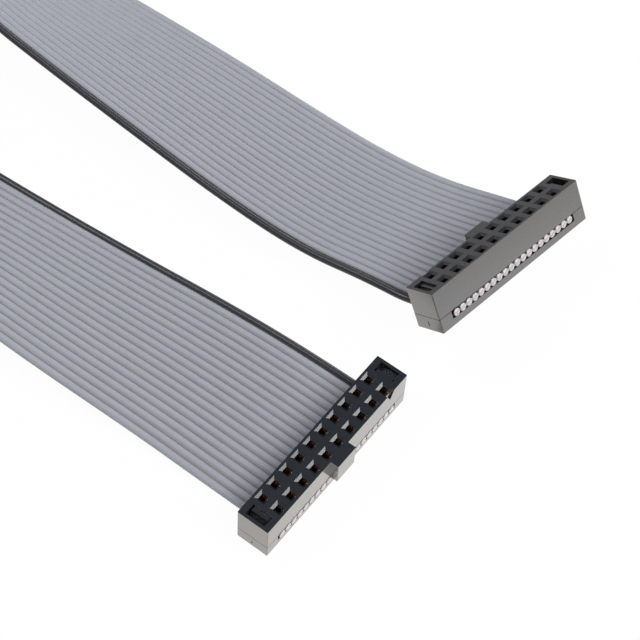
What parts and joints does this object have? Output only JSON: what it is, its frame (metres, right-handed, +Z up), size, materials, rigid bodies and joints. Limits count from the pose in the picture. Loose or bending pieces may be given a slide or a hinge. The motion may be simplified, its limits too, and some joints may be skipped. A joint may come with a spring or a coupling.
{
  "type": "ribbon cable",
  "caption": "Flat ribbon cable, grey with a dark edge wire, turned back on itself, with a double-row insulation-displacement socket on each end.",
  "frame": {"origin": "centre of the underside of socket A, which lies flat on the surface", "axes": "+X along socket A towards its contact 1 end, +Y the way the ribbon leaves socket A, +Z up"},
  "size_m": [0.0563, 0.1305, 0.0204],
  "materials": {
    "housing": "semi-gloss moulded",
    "contact": "gold plated",
    "conductor": "tinned strand",
    "ribbon": "soft extruded",
    "marker": "soft extruded"
  },
  "bodies": {
    "root": {"socket_a_housing": "housing", "socket_a_cover": "housing", "socket_a_conductors": "conductor", "socket_a_contact_01": "contact", "socket_a_contact_02": "contact", "socket_a_contact_03": "contact", "socket_a_contact_04": "contact", "socket_a_contact_05": "contact", "socket_a_contact_06": "contact", "socket_a_contact_07": "contact", "socket_a_contact_08": "contact", "socket_a_contact_09": "contact", "socket_a_contact_10": "contact", "socket_a_contact_11": "contact", "socket_a_contact_12": "contact", "socket_a_contact_13": "contact", "socket_a_contact_14": "contact", "socket_a_contact_15": "contact", "socket_a_contact_16": "contact", "socket_a_contact_17": "contact", "socket_a_contact_18": "contact", "socket_a_contact_19": "contact", "socket_a_contact_20": "contact", "socket_b_housing": "housing", "socket_b_cover": "housing", "socket_b_conductors": "conductor", "socket_b_contact_01": "contact", "socket_b_contact_02": "contact", "socket_b_contact_03": "contact", "socket_b_contact_04": "contact", "socket_b_contact_05": "contact", "socket_b_contact_06": "contact", "socket_b_contact_07": "contact", "socket_b_contact_08": "contact", "socket_b_contact_09": "contact", "socket_b_contact_10": "contact", "socket_b_contact_11": "contact", "socket_b_contact_12": "contact", "socket_b_contact_13": "contact", "socket_b_contact_14": "contact", "socket_b_contact_15": "contact", "socket_b_contact_16": "contact", "socket_b_contact_17": "contact", "socket_b_contact_18": "contact", "socket_b_contact_19": "contact", "socket_b_contact_20": "contact", "ribbon_insulation": "ribbon", "marker_wire_insulation": "marker"}
  },
  "joints": []
}
